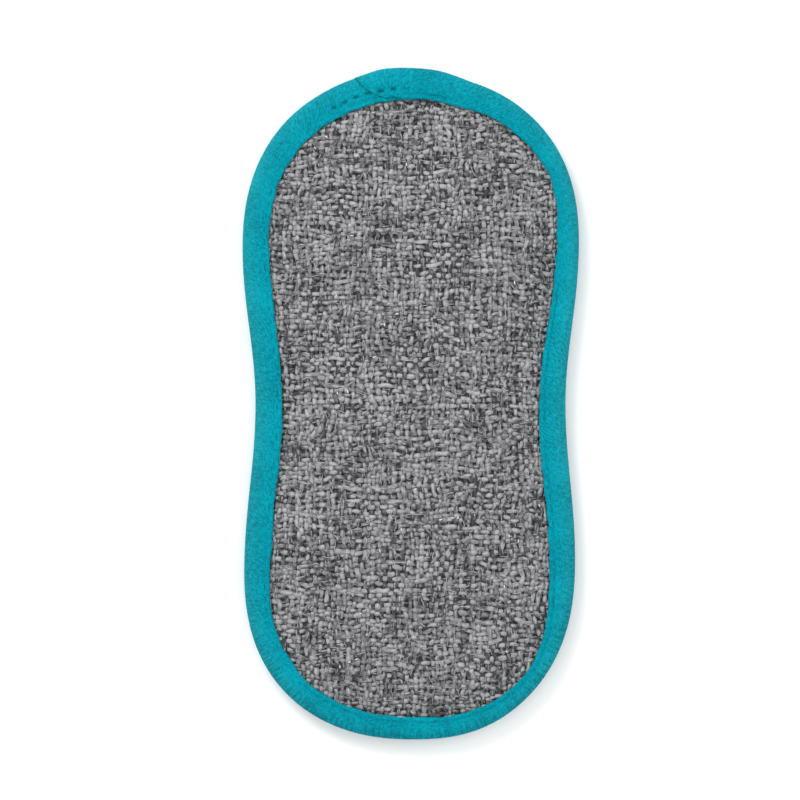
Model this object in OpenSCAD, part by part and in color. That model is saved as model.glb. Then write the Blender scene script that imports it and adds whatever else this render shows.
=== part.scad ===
// Two-lobed cleaning pad: a woven scouring face, a foam core and a back cloth,
// held together all round by one folded binding tape whose end laps over its start.
// Millimetres. The pad lies on its back cloth, +Z up, its length along Y.

/* [Outline] */
// length of the pad along Y, without what the tape's lap adds
pad_l = 188.1; // [120:0.1:260]
// width across the widest place, in the upper lobe
pad_w = 95; // [70:0.5:140]
// how much narrower the lower lobe is
lower_less = 1.4; // [0:0.1:10]
// how much narrower the waist is
waist_less = 7.3; // [2:0.1:20]
// from the upper end to the widest place of the upper lobe
upper_cap_l = 49.3; // [35:0.1:80]
// from the lower end to the widest place of the lower lobe
lower_cap_l = 50; // [35:0.1:80]
// place of the waist along Y, from the middle of pad_l
waist_y = 0.6; // [-15:0.1:15]
// fullness of the two round ends, where 2 is an ellipse
end_fullness = 2.25; // [2:0.05:2.5]

/* [Height] */
// height of the pad at its crown
pad_h = 12; // [9:0.5:22]
// how far the back cloth bellies below its own edge
belly = 3.2; // [1.5:0.1:6]
// how far from the outline the back cloth meets the floor
belly_run = 19; // [14:0.5:28]
// fullness of the crown, where 2 is a parabola
crown_fullness = 3; // [1.6:0.1:4]

/* [Scouring face] */
// thickness of the woven face
face_t = 1.5; // [1.1:0.1:2.5]
// height of the weave's ribs above the hollows between them
weave_h = 0.8; // [0.3:0.05:1]
// spacing of the weave's crossings
weave_pitch = 2.4; // [2:0.1:5]

/* [Core and back] */
// thickness of the foam where the tape squeezes it
foam_edge_t = 0.6; // [0.4:0.1:3]
// thickness of the back cloth
back_t = 0.8; // [0.5:0.1:2]
// play between two plies
ply_gap = 0.1; // [0.05:0.05:0.3]
// how far the plies' cut edges lie inside the outline
ply_inset = 2.6; // [2:0.1:4]

/* [Binding] */
// width of the folded tape on each side
tape_w = 7; // [5.5:0.1:10]
// thickness of the tape
tape_t = 0.8; // [0.5:0.05:1.2]
// play between the tape and the plies that it holds
tape_gap = 0.15; // [0.1:0.05:0.4]
// from the tape's inner edge to the line of stitches that presses it down
stitch_from_edge = 1.4; // [0.8:0.1:2]
// how far the tape puffs up beside its stitches
tape_puff = 0.35; // [0.1:0.05:0.8]

/* [Lap of the tape] */
// from the upper end, along the edge, to the tape's visible end
lap_end = 16; // [8:0.5:40]
// length of tape that lies double
lap_l = 20; // [10:0.5:40]
// length over which the tape climbs on to its start
lap_climb = 15; // [8:0.5:30]
// play between the two thicknesses of tape
lap_gap = 0.2; // [0.1:0.05:0.4]
// how far the double tape pushes the edge out
lap_swell = 0.9; // [0:0.1:2]
// slant of the tape's visible end, in lengths to a width
lap_slant = 0.9; // [0:0.1:1.4]
// thickness to which the tape's visible end is pressed, as a share of its own
lap_press = 0.4; // [0.3:0.05:1]

/* [Hidden] */

// outline
half_l = pad_l / 2;
lower_lobe_w = pad_w - lower_less;
waist_w = pad_w - waist_less;
up_y = half_l - upper_cap_l;
lo_y = lower_cap_l - half_l;

function ease(t) = (1 - cos(180 * min(max(t, 0), 1))) / 2;
function mix(a, b, t) = a + (b - a) * t;

// half the width between the two widest places
function waisted(y) =
    y > waist_y
    ? mix(waist_w, pad_w, ease((y - waist_y) / (up_y - waist_y))) / 2
    : mix(waist_w, lower_lobe_w, ease((waist_y - y) / (waist_y - lo_y))) / 2;

function cap_pt(w, l, y0, a) = [
    w / 2 * pow(max(cos(a), 0), 2 / end_fullness),
    y0 + l * pow(max(sin(a), 0), 2 / end_fullness)
];

// the right half of the outline, from the upper end to the lower one
cap_steps = 40;
side_steps = 30;
right_half = concat(
    [for (i = [0 : cap_steps - 1]) cap_pt(pad_w, upper_cap_l, up_y, 90 - 90 * i / cap_steps)],
    [for (i = [0 : side_steps]) let (y = mix(up_y, lo_y, i / side_steps)) [waisted(y), y]],
    [for (i = [1 : cap_steps]) cap_pt(lower_lobe_w, -lower_cap_l, lo_y, 90 * i / cap_steps)]
);
right_n = len(right_half);
function leg(i) = i < right_n ? norm(right_half[i] - right_half[i - 1]) : 0;
travel = [for (i = 0, s = 0; i < right_n; i = i + 1, s = s + leg(i)) s];
half_per = travel[right_n - 1];
per = 2 * half_per;
x_at = [for (i = [0 : right_n - 1]) [travel[i], right_half[i].x]];
y_at = [for (i = [0 : right_n - 1]) [travel[i], right_half[i].y]];

// a point of the edge, s millimetres round from the upper end, first down the left side
function edge_pt(s) =
    let (m = s - per * floor(s / per))
    m <= half_per
    ? [-lookup(m, x_at), lookup(m, y_at)]
    : [lookup(per - m, x_at), lookup(per - m, y_at)];
function edge_out(s) =
    let (t = edge_pt(s + 2.5) - edge_pt(s - 2.5))
    [t.y, -t.x] / norm(t);
// the same, d millimetres in from the edge
function inset_pt(s, d) = edge_pt(s) - edge_out(s) * d;

// heights
back_edge_z = belly;
foam_edge_z = back_edge_z + back_t + ply_gap;
face_edge_z = foam_edge_z + foam_edge_t + ply_gap;
edge_top_z = face_edge_z + face_t;
edge_mid_z = (back_edge_z + edge_top_z) / 2;
crown = pad_h - edge_top_z;
rise_in = tape_w + 1.2;
reach = waist_w / 2;

// how far the crown has risen, from 0 at the tape to 1 in the middle
function risen(d) = 1 - pow(1 - min(max((d - rise_in) / (reach - rise_in), 0), 1), crown_fullness);
function face_z(d) = edge_top_z + crown * risen(d);
// the back cloth's outer side, flat on the floor once it has bellied out
function back_z(d) = belly * pow(1 - min(max((d - rise_in) / (belly_run - rise_in), 0), 1), 2);

// closed skins made of rings
ring_n = 48;
ring_half = ring_n / 2;
deep = 0.62 * reach;
top_rings = [
    ply_inset, rise_in,
    mix(rise_in, deep, 0.18), mix(rise_in, deep, 0.42), mix(rise_in, deep, 0.7), deep
];
low_rings = [
    ply_inset, rise_in,
    mix(rise_in, belly_run, 0.25), mix(rise_in, belly_run, 0.55), mix(rise_in, belly_run, 0.8), belly_run
];

function ring(d, z) = [
    for (i = [0 : ring_n - 1]) let (p = inset_pt(i / ring_n * per, d)) [p.x, p.y, z]
];
// the middle line's points, between the two halves of the innermost ring
function spine(d, z) = [
    for (i = [1 : ring_half - 1]) [0, inset_pt(i / ring_n * per, d).y, z]
];
function between(outer, inner) = [
    for (i = [0 : ring_n - 1]) let (j = (i + 1) % ring_n)
        each [[outer + i, inner + i, inner + j], [outer + i, inner + j, outer + j]]
];
// the surface inside the innermost ring r, with the middle line's points from q
function middle(r, q) = concat(
    [[r, q, r + 1], [r, r + ring_n - 1, q]],
    [for (i = [1 : ring_half - 2])
        let (m = q + i - 1)
        each [
            [r + i, m, m + 1], [r + i, m + 1, r + i + 1],
            [m, r + ring_n - i, r + ring_n - i - 1], [m, r + ring_n - i - 1, m + 1]
        ]],
    [[r + ring_half - 1, q + ring_half - 2, r + ring_half],
     [q + ring_half - 2, r + ring_half + 1, r + ring_half]]
);
function skin_faces(first, count) = concat(
    [for (k = [0 : count - 2]) each between(first + k * ring_n, first + (k + 1) * ring_n)],
    middle(first + (count - 1) * ring_n, first + count * ring_n)
);
function flipped(faces) = [for (f = faces) [f[2], f[1], f[0]]];

// the skin d -> face_z(d) - drop
function top_skin(drop) = concat(
    [for (d = top_rings) each ring(d, face_z(d) - drop)],
    spine(deep, face_z(reach) - drop)
);
// the skin d -> back_z(d) + lift
function low_skin(lift) = concat(
    [for (d = low_rings) each ring(d, back_z(d) + lift)],
    spine(belly_run, lift)
);

module skins(top, top_count, low, low_count) {
    a = len(top);
    polyhedron(
        points = concat(top, low),
        faces = concat(
            skin_faces(0, top_count),
            flipped(skin_faces(a, low_count)),
            between(a, 0)
        ),
        convexity = 6
    );
}

// the woven face
// The ribs stand on a square mesh of crossings, cut off under the tape, and a plain border
// runs from there to the face's cut edge.
weave_in = tape_w - 0.8;
cut_steps = 120;
cut_line = [for (i = [0 : cut_steps]) inset_pt(half_per + half_per * i / cut_steps, weave_in)];
cut_x = [for (p = cut_line) [p.y, p.x]];
cut_lo = cut_line[0].y;
cut_hi = cut_line[cut_steps].y;
row_n = floor((cut_hi - cut_lo - weave_pitch) / weave_pitch) + 1;
row_y0 = (cut_lo + cut_hi - (row_n - 1) * weave_pitch) / 2;

function row_y(j) = row_y0 + j * weave_pitch;
function row_w(j) = lookup(row_y(j), cut_x);
function row_m(j) = floor(row_w(j) / weave_pitch - 0.4);
function row_xs(j) = let (m = row_m(j), w = row_w(j))
    concat([-w], [for (k = [-m : m]) k * weave_pitch], [w]);
rows = [for (j = [0 : row_n - 1]) row_xs(j)];
row_at = [
    for (j = 0, s = 0; j < row_n; s = s + len(rows[j]), j = j + 1) s
];
weave_count = row_at[row_n - 1] + len(rows[row_n - 1]);

// distance from the outline, by its sampled right half
edge_steps = 84;
edge_samples = [for (i = [0 : edge_steps]) edge_pt(half_per + half_per * i / edge_steps)];
function depth(x, y) = min([for (p = edge_samples) norm([abs(x) - p.x, y - p.y])]);

// over and under: a rib stands at every second crossing, and no two stand alike
uneven = rands(0, 1, 6000, 11);
function rib(j, k) =
    let (u = uneven[(j * 61 + k) % 6000])
    weave_h * ((j + k) % 2 == 0 ? 0.45 * u : 0.5 + 0.5 * u);

function weave_pts() = [
    for (j = [0 : row_n - 1])
        for (k = [0 : len(rows[j]) - 1])
            let (
                x = rows[j][k],
                y = row_y(j),
                rim = k == 0 || k == len(rows[j]) - 1,
                d = rim ? weave_in : depth(x, y),
                c = k - (len(rows[j]) - 1) / 2 + 400
            )
            [x, y, face_z(d) - (rim ? weave_h / 2 : rib(j, c))]
];

// triangles between two chains of places, a and b, whose points start at fa and fb
function zip(a, b, fa, fb) = concat(
    [for (i = [0 : len(a) - 2])
        let (j = len([for (n = [1 : len(b) - 1]) if (b[n] < a[i + 1]) 1]))
        [fa + i, fb + min(j, len(b) - 1), fa + i + 1]],
    [for (j = [0 : len(b) - 2])
        let (i = len([for (n = [1 : len(a) - 1]) if (a[n] <= b[j + 1]) 1]))
        [fb + j, fb + j + 1, fa + min(i, len(a) - 1)]]
);

function weave_faces() = concat(
    [for (j = [0 : row_n - 2]) each zip(rows[j], rows[j + 1], row_at[j], row_at[j + 1])],
    [for (k = [0 : len(rows[0]) - 2]) [k, k + 1, weave_count]],
    [for (k = [0 : len(rows[row_n - 1]) - 2])
        [row_at[row_n - 1] + k, weave_count + 1, row_at[row_n - 1] + k + 1]]
);

// the rim of the weave from the upper end round by the left, as point numbers
function rim_ids() = concat(
    [weave_count + 1],
    [for (j = [row_n - 1 : -1 : 0]) row_at[j]],
    [weave_count],
    [for (j = [0 : row_n - 1]) row_at[j] + len(rows[j]) - 1]
);
function turn(p) = let (a = atan2(-p.x, p.y)) a < -0.0001 ? a + 360 : a;

module scouring_face() {
    color([0.49, 0.49, 0.50]) translate(seat) {
        weave = concat(
            weave_pts(),
            [[0, cut_lo, face_z(0) - weave_h / 2], [0, cut_hi, face_z(0) - weave_h / 2]]
        );
        rim = rim_ids();
        rim_n = len(rim);
        border = ring(ply_inset, face_z(0) - weave_h / 2);
        rim_turn = concat([for (i = rim) turn(weave[i])], [360]);
        border_turn = concat([for (p = border) turn(p)], [360]);
        under = top_skin(face_t);
        b0 = len(weave);
        u0 = b0 + ring_n;
        laced = zip(rim_turn, border_turn, 0, 10000);
        polyhedron(
            points = concat(weave, border, under),
            faces = concat(
                weave_faces(),
                [for (f = laced) [
                    for (v = [f[0], f[2], f[1]]) v < 10000 ? rim[v % rim_n] : b0 + (v - 10000) % ring_n
                ]],
                between(u0, b0),
                flipped(skin_faces(u0, len(top_rings)))
            ),
            convexity = 6
        );
    }
}

module foam_core() {
    color([0.93, 0.90, 0.78])
        translate(seat) skins(
            top_skin(face_t + ply_gap), len(top_rings),
            low_skin(back_t + ply_gap), len(low_rings)
        );
}

module back_cloth() {
    color([0.33, 0.68, 0.72])
        translate(seat) skins(low_skin(back_t), len(low_rings), low_skin(0), len(low_rings));
}

// the binding
// middle line of the folded tape, as [in from the outline, up from the edge's middle]
fold_h = (edge_top_z - back_edge_z) / 2 + tape_gap + tape_t / 2;
fold_in = tape_t / 2;
roll_in = ply_inset + 0.5;
stitch_in = tape_w - stitch_from_edge;
roll_h = fold_h + tape_puff;
tape_side = [
    [tape_w, fold_h + 0.15 * tape_puff],
    [stitch_in, fold_h],
    [roll_in, roll_h],
    [mix(fold_in, roll_in, 0.36), 0.86 * roll_h],
    [mix(fold_in, roll_in, 0.09), 0.47 * roll_h]
];
tape_mid = concat(tape_side, [[fold_in, 0]], [for (i = [4 : -1 : 0]) [tape_side[i].x, -tape_side[i].y]]);
tape_m = len(tape_mid);
tape_up = [
    for (i = [0 : tape_m - 1])
        let (t = tape_mid[min(i + 1, tape_m - 1)] - tape_mid[max(i - 1, 0)])
        [t.y, -t.x] / norm(t)
];

lap_start = lap_end - lap_l;
lap_steps = 5;
climb_steps = 4;
round_steps = 70;
climb_from = per + lap_start - lap_climb;
stations = concat(
    [for (i = [0 : lap_steps - 1]) lap_start + lap_l * i / lap_steps],
    [for (i = [0 : round_steps - 1]) mix(lap_end, climb_from, i / round_steps)],
    [for (i = [0 : climb_steps - 1]) climb_from + (lap_climb - 2) * i / climb_steps],
    [for (i = [0 : lap_steps]) per + lap_start + lap_l * i / lap_steps - (i == 0 ? 2 : 0)]
);
station_n = len(stations);

function climbed(s) = (tape_t + lap_gap) * ease((s - climb_from) / (lap_climb - 2));
function near_lap(s) = let (m = s - per * floor(s / per + 0.5))
    ease(1 - abs(m - (lap_start + lap_end) / 2) / (lap_l / 2 + lap_climb));
// what the pressed end takes off the tape's outer side
press_l = lap_l / 2;
function pressed(s) = tape_t * (1 - lap_press) * ease((s - per - lap_end + press_l) / press_l);
function slant(k) = lap_slant * max(k - (station_n - 4), 0) / 3;

function tape_pt(k, i, side) =
    let (
        s = stations[k],
        press = side > 0 ? pressed(s) : 0,
        p = tape_mid[i] + tape_up[i] * (side * tape_t / 2 + climbed(s) - press),
        d = p.x - lap_swell * near_lap(s) * (1 - min(max(tape_mid[i].x, 0), tape_w) / tape_w),
        q = inset_pt(s - slant(k) * tape_mid[i].x, d)
    )
    [q.x, q.y, edge_mid_z + p.y];
function station_pts(k) = concat(
    [for (i = [0 : tape_m - 1]) tape_pt(k, i, 1)],
    [for (i = [tape_m - 1 : -1 : 0]) tape_pt(k, i, -1)]
);
function cap_faces(f) = [
    for (i = [0 : tape_m - 2]) let (a = f + i, b = f + 2 * tape_m - 1 - i)
        each [[a, a + 1, b - 1], [a, b - 1, b]]
];

module edge_binding() {
    m = 2 * tape_m;
    color([0.05, 0.60, 0.67])
        translate(seat) polyhedron(
            points = [for (k = [0 : station_n - 1]) each station_pts(k)],
            faces = concat(
                [for (k = [0 : station_n - 2])
                    for (i = [0 : m - 1])
                        let (a = k * m + i, b = k * m + (i + 1) % m, c = b + m, e = a + m)
                        each [[a, c, b], [a, e, c]]],
                cap_faces(0),
                flipped(cap_faces((station_n - 1) * m))
            ),
            convexity = 10
        );
}

// seating in the shared frame
tape_ys = [for (k = [0 : station_n - 1]) let (p = tape_pt(k, (tape_m - 1) / 2, 1)) p.y];
tape_xs = [for (k = [0 : station_n - 1]) let (p = tape_pt(k, (tape_m - 1) / 2, 1)) p.x];
seat = [-(max(tape_xs) + min(tape_xs)) / 2, -(max(tape_ys) + min(tape_ys)) / 2, 0];

scouring_face();
foam_core();
back_cloth();
edge_binding();
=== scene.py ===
"""Dresses the solids of a bound cleaning pad: woven yarns, folded tape, stitches, pile and foam.

All lengths inside the makers are millimetres on the pad, and meshes are written in metres.
"""

import math

import bpy
import numpy as np
from bpy.props import (
    FloatProperty,
    FloatVectorProperty,
    IntProperty,
    PointerProperty,
)
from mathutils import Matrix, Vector
from mathutils.bvhtree import BVHTree


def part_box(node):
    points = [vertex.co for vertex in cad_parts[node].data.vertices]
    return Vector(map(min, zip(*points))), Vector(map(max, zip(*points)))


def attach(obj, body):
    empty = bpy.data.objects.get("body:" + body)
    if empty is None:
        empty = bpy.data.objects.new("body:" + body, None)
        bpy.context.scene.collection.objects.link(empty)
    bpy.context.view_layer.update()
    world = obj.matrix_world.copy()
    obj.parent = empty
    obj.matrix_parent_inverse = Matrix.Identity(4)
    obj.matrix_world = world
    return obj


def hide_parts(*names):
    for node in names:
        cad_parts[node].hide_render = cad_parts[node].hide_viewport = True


bl_info = {
    "name": "Bound cleaning pad",
    "version": (1, 0, 0),
    "blender": (4, 5, 0),
    "location": "3D View > Sidebar > Cleaning Pad",
    "description": "Builds the yarns, tape, stitches, pile and foam of a cleaning pad around its solids",
    "category": "Object",
}

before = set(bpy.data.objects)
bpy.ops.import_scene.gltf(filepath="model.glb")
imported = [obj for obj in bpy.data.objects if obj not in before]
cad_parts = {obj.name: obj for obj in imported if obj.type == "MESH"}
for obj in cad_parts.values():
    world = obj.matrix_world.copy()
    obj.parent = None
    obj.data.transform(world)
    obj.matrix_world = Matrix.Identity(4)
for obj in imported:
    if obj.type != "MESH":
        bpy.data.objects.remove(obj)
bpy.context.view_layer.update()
TAPE_BOX = [list(corner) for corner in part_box("edge_binding")]
MM = 0.001


# Sizes and colours


def length(name, description, default, low=0.0, high=1.0):
    """A length property in metres."""
    return FloatProperty(
        name=name,
        description=description,
        default=default,
        min=low,
        max=high,
        precision=5,
        subtype="DISTANCE",
        unit="LENGTH",
    )


def number(name, description, default):
    """A property that is a plain number."""
    return FloatProperty(name=name, description=description, default=default)


def whole(name, description, default, low=0):
    """A property that is a whole number."""
    return IntProperty(name=name, description=description, default=default, min=low)


def colour(name, description, default):
    """A linear colour property."""
    return FloatVectorProperty(
        name=name,
        description=description,
        default=default,
        size=4,
        min=0.0,
        max=1.0,
        subtype="COLOR",
    )


class PadShape(bpy.types.PropertyGroup):
    """The pad's outline and heights, as the solids have them"""

    length: length("Length", "Length along Y without the lap", 0.1881)
    width: length("Width", "Widest place, in the upper lobe", 0.095)
    lower_less: length("Lower lobe less", "How much narrower the lower lobe is", 0.0014)
    waist_less: length("Waist less", "How much narrower the waist is", 0.0073)
    upper_cap: length("Upper end", "Upper end to the widest place", 0.0493)
    lower_cap: length("Lower end", "Lower end to the widest place", 0.05)
    waist_place: length("Waist place", "Waist from the middle", 0.0006, -0.1)
    fullness: number("Fullness", "Roundness of the ends, 2 is an ellipse", 2.25)
    height: length("Height", "Height at the crown", 0.012)
    belly: length("Belly", "Depth of the back below its edge", 0.0032)
    belly_run: length("Belly run", "Outline to where the back meets the floor", 0.019)
    crown_fullness: number("Crown fullness", "2 is a parabola", 3.0)
    face_thickness: length("Face thickness", "Woven face with its yarns", 0.0015)
    foam_edge: length("Foam edge", "Foam squeezed under the tape", 0.0006)
    back_thickness: length("Back thickness", "Back cloth", 0.0008)
    ply_gap: length("Ply gap", "Play between plies", 0.0001)


class FoamSettings(bpy.types.PropertyGroup):
    """The foam core and how its covers swell over it"""

    pressure: number("Pressure", "Push of the foam on its covers", 4.0)
    frames: whole("Frames", "Steps that the swelling takes", 20, 2)
    cap: length("Cap", "Furthest that a point may move", 0.0011)
    colour: colour("Foam colour", "Open-cell foam", (0.80, 0.74, 0.52, 1.0))


class WeaveSettings(bpy.types.PropertyGroup):
    """The yarns of the scouring face"""

    pitch: length("Pitch", "Spacing of crossings", 0.00147)
    yarn_width: length("Yarn width", "Width of a yarn where it floats", 0.00137)
    yarn_height: length("Yarn height", "Thickness of a yarn", 0.00070)
    rise: length("Rise", "How far a yarn rises over another", 0.00028)
    wander: length("Wander", "How far a yarn strays from its line", 0.00046)
    dark: colour("Dark fibre", "Charcoal fibre", (0.038, 0.0385, 0.041, 1.0))
    light: colour("Light fibre", "Pale grey fibre", (0.378, 0.378, 0.390, 1.0))
    filament: colour("Filament", "Loose glossy thread", (0.80, 0.80, 0.83, 1.0))
    # the ground's dark colour is partly matted fibre and partly painted shade in the gaps between the yarns
    ground: colour("Ground", "Matted fibre under the yarns", (0.072, 0.072, 0.077, 1.0))
    skips: number("Skips", "Share of the crossings that are woven the wrong way", 0.025)
    strays: whole("Stray filaments", "Loose bright threads", 1100)
    seed: whole("Seed", "Seed of the uneven yarns", 7)


class TapeSettings(bpy.types.PropertyGroup):
    """The folded tape round the edge and its stitches"""

    width: length("Width", "Tape showing on each side", 0.007)
    thickness: length("Thickness", "Tape", 0.0008)
    gap: length("Gap", "Play between tape and plies", 0.00015)
    stitch_from_edge: length("Stitch line", "Inner edge of the tape to the stitches", 0.0014)
    puff: length("Puff", "Tape rising beside its stitches", 0.00035)
    roll_in: length("Roll", "Outline to the roll's top", 0.0031)
    lap_end: length("Lap end", "Upper end to the visible end", 0.016)
    lap_length: length("Lap length", "Double length", 0.020)
    lap_climb: length("Lap climb", "Length of the climb", 0.015)
    lap_gap: length("Lap gap", "Play in the lap", 0.0002)
    lap_swell: length("Lap swell", "How far the lap pushes out", 0.0009)
    lap_press: number("Pressed end", "Thickness of the visible end, as a share", 0.2)
    slant: number("Slant", "Slant of the visible end", 1.0)
    seam_strays: length("Seam strays", "How far the seam leaves its line beside the lap", 0.0017)
    stitch_pitch: length("Stitch pitch", "Spacing of stitches", 0.0039)
    first_stitch: number("First stitch", "Its place, as a share of the pitch", 0.32)
    thread: length("Thread", "Radius of the thread", 0.00013)
    colour: colour("Tape colour", "Teal knit tape", (0.0006, 0.238, 0.306, 1.0))
    worn_colour: colour("Roll colour", "Tape where the roll rubs it", (0.0090, 0.230, 0.277, 1.0))
    # the thread's teal is darkened with painted shade, as the thread lies deep in its dimples
    thread_colour: colour("Thread colour", "Teal thread", (0.001, 0.120, 0.160, 1.0))
    seed: whole("Seed", "Seed of the uneven tape", 3)


class BackSettings(bpy.types.PropertyGroup):
    """The pile of the back cloth"""

    pile: length("Pile", "Height of the pile's tufts", 0.00035)
    colour: colour("Back colour", "Teal microfibre", (0.045, 0.34, 0.42, 1.0))
    seed: whole("Seed", "Seed of the pile", 5)


class StageSettings(bpy.types.PropertyGroup):
    """Floor, light and camera"""

    view_width: length("View width", "What the camera sees across, at the pad", 0.2262)
    camera_height: length("Camera height", "Height of the camera", 1.6, 0.1, 5.0)
    key: number("Key light", "Watts of the soft box at the upper left", 8.4)
    side_share: number("Side light", "Watts of the right soft box, as a share of the key", 0.16)
    fill: number("Fill", "Strength of the white room", 1.05)
    floor: colour("Floor colour", "Pale table", (0.97, 0.97, 0.97, 1.0))


# The outline and its heights, in millimetres


def ease(t):
    """0 to 1 while t goes from 0 to 1, slow at both ends."""
    t = np.clip(t, 0.0, 1.0)
    return (1.0 - np.cos(np.pi * t)) / 2.0


def mix(a, b, t):
    """From a to b while t goes from 0 to 1."""
    return a + (b - a) * t


def bell(value, spread):
    """1 where the value is 0, falling off to both sides."""
    return np.exp(-((value / spread) ** 2))


# Where the sewn edge lies out of true: millimetres from the upper end, spread and how far out
OUT_OF_TRUE = (
    (196, 24, 0.95),
    (-54, 20, 0.50),
    (-172, 22, -0.25),
    (-226, 14, 0.40),
)


class Outline:
    """The edge of the pad as a closed line, s millimetres round from the upper end, left side first."""

    def __init__(self, shape):
        half = shape.length / MM / 2
        # places along Y of the upper and the lower lobe's widest spots, and of the waist
        self.up = half - shape.upper_cap / MM
        self.low = shape.lower_cap / MM - half
        middle = shape.waist_place / MM
        narrower = (0, shape.lower_less, shape.waist_less)
        upper, lower, waist = ((shape.width - less) / MM / 2 for less in narrower)
        a = np.linspace(np.pi / 2, 0, 161)[:-1]
        power = 2.0 / shape.fullness

        def cap(width, height, start, angle):
            across, along = (np.clip(part, 0, 1) ** power for part in (np.cos(angle), np.sin(angle)))
            return np.stack([width * across, start + height * along], 1)

        y = np.linspace(self.up, self.low, 160)
        side = np.where(
            y > middle,
            mix(waist, upper, ease((y - middle) / (self.up - middle))),
            mix(waist, lower, ease((middle - y) / (middle - self.low))),
        )
        right = np.concatenate(
            [
                cap(upper, half - self.up, self.up, a),
                np.stack([side, y], 1),
                cap(lower, -(half + self.low), self.low, a[::-1]),
                [[0.0, -half]],
            ]
        )
        left = right * [-1.0, 1.0]
        self.measure(np.concatenate([left, right[::-1][1:]]))
        fuller = np.zeros(len(self.travel))
        for place, spread, change in OUT_OF_TRUE:
            fuller += change * bell(self.away(self.travel, place), spread)
        self.measure(self.inset(self.travel, -fuller))
        # the solids are centred with their lap's swelling, so the outline lies a little below the middle
        self.shift = np.array([0.0, TAPE_BOX[0][1] / MM + half])
        self.samples = self.edge(np.arange(0, self.per, 0.6))

    def measure(self, loop):
        """Takes a closed line as the outline, with the way to each of its points."""
        step = np.linalg.norm(np.diff(loop, axis=0), axis=1)
        self.loop, self.travel = loop, np.concatenate([[0.0], np.cumsum(step)])
        self.per = float(self.travel[-1])

    def away(self, s, place):
        """How far round s lies from a place, the shorter way."""
        gap = s - place
        return gap - self.per * np.round(gap / self.per)

    def edge(self, s):
        """Points on the outline."""
        s = np.asarray(s, float) % self.per
        return np.stack([np.interp(s, self.travel, self.loop[:, k]) for k in (0, 1)], -1)

    def out(self, s):
        """Ways outward from the outline."""
        t = self.edge(np.asarray(s) + 2.0) - self.edge(np.asarray(s) - 2.0)
        n = np.stack([t[..., 1], -t[..., 0]], -1)
        return n / np.linalg.norm(n, axis=-1, keepdims=True)

    def inset(self, s, d):
        """Points at a depth inside the outline."""
        return self.edge(s) - self.out(s) * np.asarray(d)[..., None]

    def depth(self, xy):
        """How far inside the outline each point is."""
        xy = np.asarray(xy, float).reshape(-1, 2)
        best = np.empty(len(xy))
        for k in range(0, len(xy), 4000):
            part = xy[k : k + 4000]
            gap = part[:, None, :] - self.samples[None, :, :]
            best[k : k + 4000] = np.sqrt((gap**2).sum(-1).min(1))
        inside = self.width_at(xy[:, 1]) > np.abs(xy[:, 0])
        return np.where(inside, best, -best)

    def width_at(self, y):
        """Half the pad's width at a place along Y, from its left side."""
        half = self.loop[: len(self.loop) // 2 + 1]
        order = np.argsort(half[:, 1])
        return np.interp(y, half[order, 1], -half[order, 0], left=-1.0, right=-1.0)


class Levels:
    """Heights of the plies at a depth inside the outline."""

    def __init__(self, shape, tape):
        self.belly, self.run = shape.belly / MM, shape.belly_run / MM
        self.back, self.gap = shape.back_thickness / MM, shape.ply_gap / MM
        self.face = shape.face_thickness / MM
        self.edge_top = self.belly + self.back + shape.foam_edge / MM + self.face + 2 * self.gap
        self.middle = (self.belly + self.edge_top) / 2
        self.crown = shape.height / MM - self.edge_top
        # the face starts to rise a little inside the tape
        self.rise_in = tape.width / MM + 1.2
        self.reach = (shape.width - shape.waist_less) / MM / 2
        self.power = shape.crown_fullness

    def top(self, d):
        """The plain top of the face."""
        t = np.clip((np.asarray(d) - self.rise_in) / (self.reach - self.rise_in), 0, 1)
        return self.edge_top + self.crown * (1 - (1 - t) ** self.power)

    def woven(self, d):
        """The top of the woven face, which bulges up beside the tape."""
        past = np.asarray(d) - self.rise_in
        return self.top(d) + 0.35 * ease(past / 1.5 + 1) * bell(past, 7)

    def foam_top(self, d):
        """The plain top of the foam, under the face."""
        return self.top(d) - self.face - self.gap

    def foam_low(self, d):
        """The underside of the foam, over the back cloth."""
        return self.low(d) + self.back + self.gap

    def low(self, d):
        """The underside of the back cloth, which dips to the floor."""
        t = np.clip((np.asarray(d) - self.rise_in) / (self.run - self.rise_in), 0, 1)
        return self.belly * (1 - t) ** 2


# Small tools


def smooth_step(a, b, t):
    """From a to b while t goes from 0 to 1, level at both ends."""
    t = t * t * (3 - 2 * t)
    return a * (1 - t) + b * t


def drift(rng, s, wavelength):
    """Smooth random numbers along s, about -1 to 1."""
    s = np.asarray(s, float) / wavelength
    low = np.floor(s).astype(int)
    knots = rng.uniform(-1, 1, int(low.max() - low.min()) + 3)
    k = low - low.min()
    return smooth_step(knots[k], knots[k + 1], s - low)


def drift_round(rng, s, per, wavelength):
    """The same round a closed line of length per."""
    count = max(int(round(per / wavelength)), 3)
    knots = rng.uniform(-1, 1, count)
    u = (np.asarray(s, float) % per) / per * count
    k = np.floor(u).astype(int)
    return smooth_step(knots[k % count], knots[(k + 1) % count], u - k)


class Patches:
    """A smooth random field over the pad, about -1 to 1."""

    def __init__(self, rng, shortest, longest, waves=14):
        turn = rng.uniform(0, 2 * np.pi, waves)
        size = 2 * np.pi / np.exp(rng.uniform(np.log(shortest), np.log(longest), waves))
        self.k = np.stack([np.cos(turn) * size, np.sin(turn) * size])
        self.phase = rng.uniform(0, 2 * np.pi, waves)
        self.scale = 1.0 / math.sqrt(waves / 2)

    def __call__(self, x, y):
        xy = np.stack([np.asarray(x, float), np.asarray(y, float)], -1)
        return np.sin(xy @ self.k + self.phase).sum(-1) * self.scale * 0.6


def placed(name, data):
    """An object that holds this data, in the scene."""
    made = bpy.data.objects.new(name, data)
    bpy.context.scene.collection.objects.link(made)
    return made


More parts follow.
